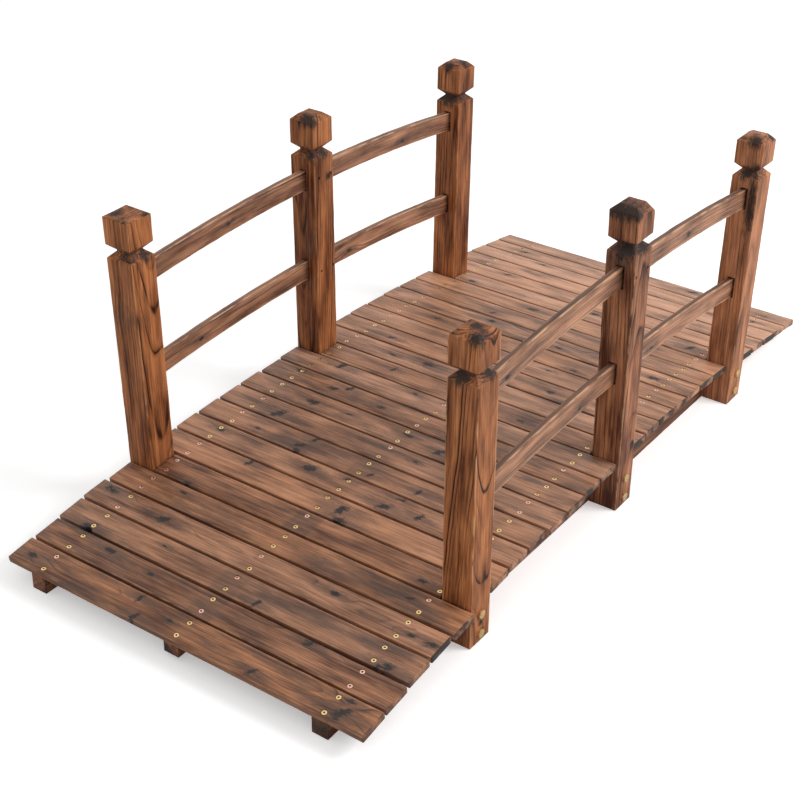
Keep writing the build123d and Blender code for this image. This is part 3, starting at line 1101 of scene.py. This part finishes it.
class FOOTBRIDGE_OT_screws(bpy.types.Operator):
    """Drive two screws through each board into each stringer"""
    bl_idname = "footbridge.screws"
    bl_label = "Deck screws"
    PLATINGS = {"zinc": 0.6, "copper": 0.4}  # share of the screws that have each plating
    THICKNESS = 0.0012
    DOME = 0.00015  # metres that the middle of a head stands above its rim
    RIM = 0.12  # widths as shares of the head's radius: the rim, and the ring around the recess
    RING = 0.34
    INNER = 0.58  # share of the head's radius inside which the recess lies
    HUB = 0.05  # share of the head's radius inside which the middle face lies
    TAPERED = 0.6  # width of the head's underside, and of the recess's floor, as shares of their tops'
    ARM = 20.0  # degrees from an arm's middle line to its side
    WAIST = 0.68  # reach of the recess between its arms, as a share of an arm's
    RECESS_DEPTH = 0.0010

    def execute(self, context):
        fasteners = settings("fasteners")
        # The recesses get a dark metal of their own: painted shade in the hollows
        recess = metal("Stained recess", fasteners.recess)
        models = {"zinc": self.make_screw(fasteners, metal("Yellow zinc", fasteners.zinc), recess)}
        models["copper"] = copy_of(models["zinc"], "copper_blank")
        models["copper"].material_slots[0].material = metal("Copper plating", fasteners.copper)
        heads = {key: [] for key in models}
        chance = random.Random(7)
        for node in BOARD_NODES:
            board = Board(node)
            for spot, depth, tip in board.screws():
                key = chance.choices(tuple(self.PLATINGS), tuple(self.PLATINGS.values()))[0]
                head = copy_of(models[key], "head")
                head.matrix_world = pose(spot - depth * UP, (board.tilt + tip, "Y"),
                                         (chance.uniform(0.0, math.pi), "Z"))
                heads[key].append(head)
        for key, group in heads.items():
            piece = join(group, f"{key}_deck_screws")
            settle(piece)
            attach(piece, "root")
        discard(*models.values())
        return {"FINISHED"}

    def make_screw(self, fasteners, plating, recess):
        """A flat countersunk head with a cross recess, its top at the origin."""
        radius = fasteners.screw_head / 2

        def is_arm(turn):
            return turn < self.ARM or turn > 90.0 - self.ARM

        screw = rod("screw_blank", 16, radius, self.THICKNESS, (0.0, 0.0, -self.THICKNESS / 2),
                    (0.0, 0.0, math.pi / 16))
        screw.data.materials.append(plating)
        screw.data.materials.append(recess)
        shape(screw)
        pick(screw, "faces", lambda face: face.normal.z < -0.9)
        bpy.ops.transform.resize(value=(self.TAPERED, self.TAPERED, 1.0))
        pick(screw, "faces", lambda face: face.normal.z > 0.9)
        bpy.ops.mesh.inset(thickness=radius * self.RIM)
        bpy.ops.transform.translate(value=(0.0, 0.0, self.DOME))
        bpy.ops.mesh.inset(thickness=radius * self.RING)
        inner = radius * self.INNER
        for test, share in ((is_arm, 1.0), (lambda turn: not is_arm(turn), self.WAIST)):
            pick(screw, "verts", lambda vertex: vertex.co.z > 0.0001 and vertex.co.xy.length < inner
                 and test(math.degrees(math.atan2(vertex.co.y, vertex.co.x)) % 90.0))
            bpy.ops.transform.resize(value=(share, share, 1.0), center_override=(0.0, 0.0, 0.0))
        pick(screw, "faces", lambda face: face.normal.z > 0.9
             and middle_of(face).xy.length < radius * self.HUB)
        bpy.ops.mesh.extrude_region_move(TRANSFORM_OT_translate={"value": (0.0, 0.0, -self.RECESS_DEPTH)})
        bpy.ops.transform.resize(value=(self.TAPERED, self.TAPERED, 1.0))
        # The recess's walls and floor take the dark painted shade
        pick(screw, "faces", lambda face: face.normal.z > -0.5 and middle_of(face).z < -0.0001
             and middle_of(face).xy.length < inner)
        screw.active_material_index = 1
        bpy.ops.object.material_slot_assign()
        done()
        soften(screw)
        return screw


class FOOTBRIDGE_OT_bolts(bpy.types.Operator):
    """Set two hexagon bolts into the foot of each post"""
    bl_idname = "footbridge.bolts"
    bl_label = "Post bolts"
    # Metres above the ground of the two bolts in the posts at each place
    HEIGHTS = {"near": (0.051, 0.0155), "middle": (0.054, 0.0165), "far": (0.056, 0.020)}
    EDGE = 0.0006
    SINK = 0.0006  # metres that a head is set into its post
    DULLNESS = 0.65

    def execute(self, context):
        fasteners = settings("fasteners")
        radius = fasteners.bolt_flats / math.sqrt(3.0)
        bolt = rod("bolt", 6, radius, fasteners.bolt_height, (0.0, 0.0, fasteners.bolt_height / 2))
        ease(bolt, self.EDGE)
        heads = []
        for node in POSTS:
            post = Post(node)
            outward = SIDES[post.side]
            face = post.pivot.y + outward * (settings("posts").width / 2 - self.SINK)
            for height in self.HEIGHTS[post.place]:
                chance = random.Random(f"{node} {height}")
                head = copy_of(bolt, "bolt")
                head.matrix_world = pose((post.axis_x(height), face, height), (-outward * math.pi / 2, "X"),
                                         (chance.uniform(0.0, math.pi), "Z"))
                heads.append(head)
        piece = join(heads, "post_bolts")
        settle(piece)
        soften(piece)
        piece.data.materials.append(metal("Brass bolts", fasteners.brass, self.DULLNESS))
        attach(piece, "root")
        discard(bolt)
        return {"FINISHED"}


class FOOTBRIDGE_OT_stage(bpy.types.Operator):
    """Set the pale floor, the soft light and the camera"""
    bl_idname = "footbridge.stage"
    bl_label = "Stage"
    FLOOR_SIZE = 60.0
    FLOOR_LEVEL = -0.0005
    FLOOR_TONE = (0.80, 0.80, 0.80)  # what the floor reflects onto the bridge
    FLOOR_GLOW = 0.36  # keeps the floor white where the camera sees it
    LAMP_SIZE = (1.6, 1.2)
    LAMP_PLACE = (1.1, -2.6, 2.5)
    LAMP_AIM = (0.0, 0.0, 0.2)

    def execute(self, context):
        stage = settings("stage")
        self.make_floor()
        self.make_light(stage)
        self.make_camera(stage)
        context.scene.view_settings.view_transform = "Standard"
        return {"FINISHED"}

    def make_floor(self):
        bpy.ops.object.select_all(action="DESELECT")
        bpy.ops.mesh.primitive_plane_add(size=self.FLOOR_SIZE, location=(0.0, 0.0, self.FLOOR_LEVEL))
        floor = taken("floor")
        material, nodes = new_material("White floor")
        seen = nodes.value("Is Camera Ray", "ShaderNodeLightPath")
        plain = nodes.value(0, "ShaderNodeBsdfDiffuse", {"Color": opaque(self.FLOOR_TONE)})
        bright = nodes.value(0, "ShaderNodeBsdfDiffuse", {"Color": WHITE})
        glow = nodes.value(0, "ShaderNodeEmission", {"Color": WHITE, "Strength": self.FLOOR_GLOW})
        white = nodes.value(0, "ShaderNodeAddShader", {0: bright, 1: glow})
        nodes.add("ShaderNodeOutputMaterial", {"Surface": nodes.either(seen, plain, white)})
        floor.data.materials.append(material)

    def make_light(self, stage):
        world = bpy.data.worlds.new("Studio")
        bpy.context.scene.world = world
        world.use_nodes = True
        nodes = Nodes(world.node_tree)
        path = nodes.values("ShaderNodeLightPath")
        even = nodes.value(0, "ShaderNodeBackground", {"Color": WHITE, "Strength": stage.sky})
        white = nodes.value(0, "ShaderNodeBackground", {"Color": WHITE, "Strength": 1.0})
        direct = nodes.most(path["Is Camera Ray"], path["Is Glossy Ray"])
        direct = nodes.most(direct, path["Is Transmission Ray"])
        nodes.add("ShaderNodeOutputWorld", {"Surface": nodes.either(direct, even, white)})
        lamp = bpy.data.lights.new("Key", "AREA")
        lamp.shape = "RECTANGLE"
        lamp.size, lamp.size_y = self.LAMP_SIZE
        lamp.energy = stage.key
        key = bpy.data.objects.new("Key", lamp)
        bpy.context.scene.collection.objects.link(key)
        key.location = self.LAMP_PLACE
        key.rotation_euler = (Vector(self.LAMP_AIM) - key.location).to_track_quat("-Z", "Y").to_euler()

    def make_camera(self, stage):
        data = bpy.data.cameras.new("Camera")
        camera = bpy.data.objects.new("Camera", data)
        bpy.context.scene.collection.objects.link(camera)
        data.sensor_width = 36.0
        data.lens = stage.camera_lens
        data.shift_x, data.shift_y = stage.camera_shift
        camera.matrix_world = pose(stage.camera_place, (stage.camera_turn - math.pi / 2, "Z"),
                                   (math.pi / 2 - stage.camera_dip, "X"), (stage.camera_roll, "Z"))
        bpy.context.scene.camera = camera


PIECES = (FOOTBRIDGE_OT_boards, FOOTBRIDGE_OT_stringers, FOOTBRIDGE_OT_posts, FOOTBRIDGE_OT_rails,
          FOOTBRIDGE_OT_screws, FOOTBRIDGE_OT_bolts, FOOTBRIDGE_OT_stage)


class FOOTBRIDGE_PT_sidebar(bpy.types.Panel):
    """The footbridge's sizes and colours, and a button for each group of pieces"""
    bl_label = "Footbridge"
    bl_idname = "FOOTBRIDGE_PT_sidebar"
    bl_space_type = "VIEW_3D"
    bl_region_type = "UI"
    bl_category = "Footbridge"

    def draw(self, context):
        for name in SETTINGS:
            box = self.layout.box()
            group = getattr(context.scene, name)
            for key in group.bl_rna.properties.keys():
                if key not in ("rna_type", "name"):
                    box.prop(group, key, text=key.replace("_", " ").capitalize())
        for operator in PIECES:
            self.layout.operator(operator.bl_idname)


CLASSES = (*SETTINGS.values(), *PIECES, FOOTBRIDGE_PT_sidebar)


def register():
    for item in CLASSES:
        bpy.utils.register_class(item)
    for name, group in SETTINGS.items():
        setattr(bpy.types.Scene, name, bpy.props.PointerProperty(type=group))


def unregister():
    for name in SETTINGS:
        delattr(bpy.types.Scene, name)
    for item in reversed(CLASSES):
        bpy.utils.unregister_class(item)


def main():
    register()
    clouds("Hollows", 0.045, 1)
    clouds("Nicks", 0.011, 2)
    fir_group(settings("finish"))
    knot_group()
    burn_group()
    for operator in PIECES:
        category, name = operator.bl_idname.split(".")
        getattr(getattr(bpy.ops, category), name)()


if __name__ == "__main__":
    main()
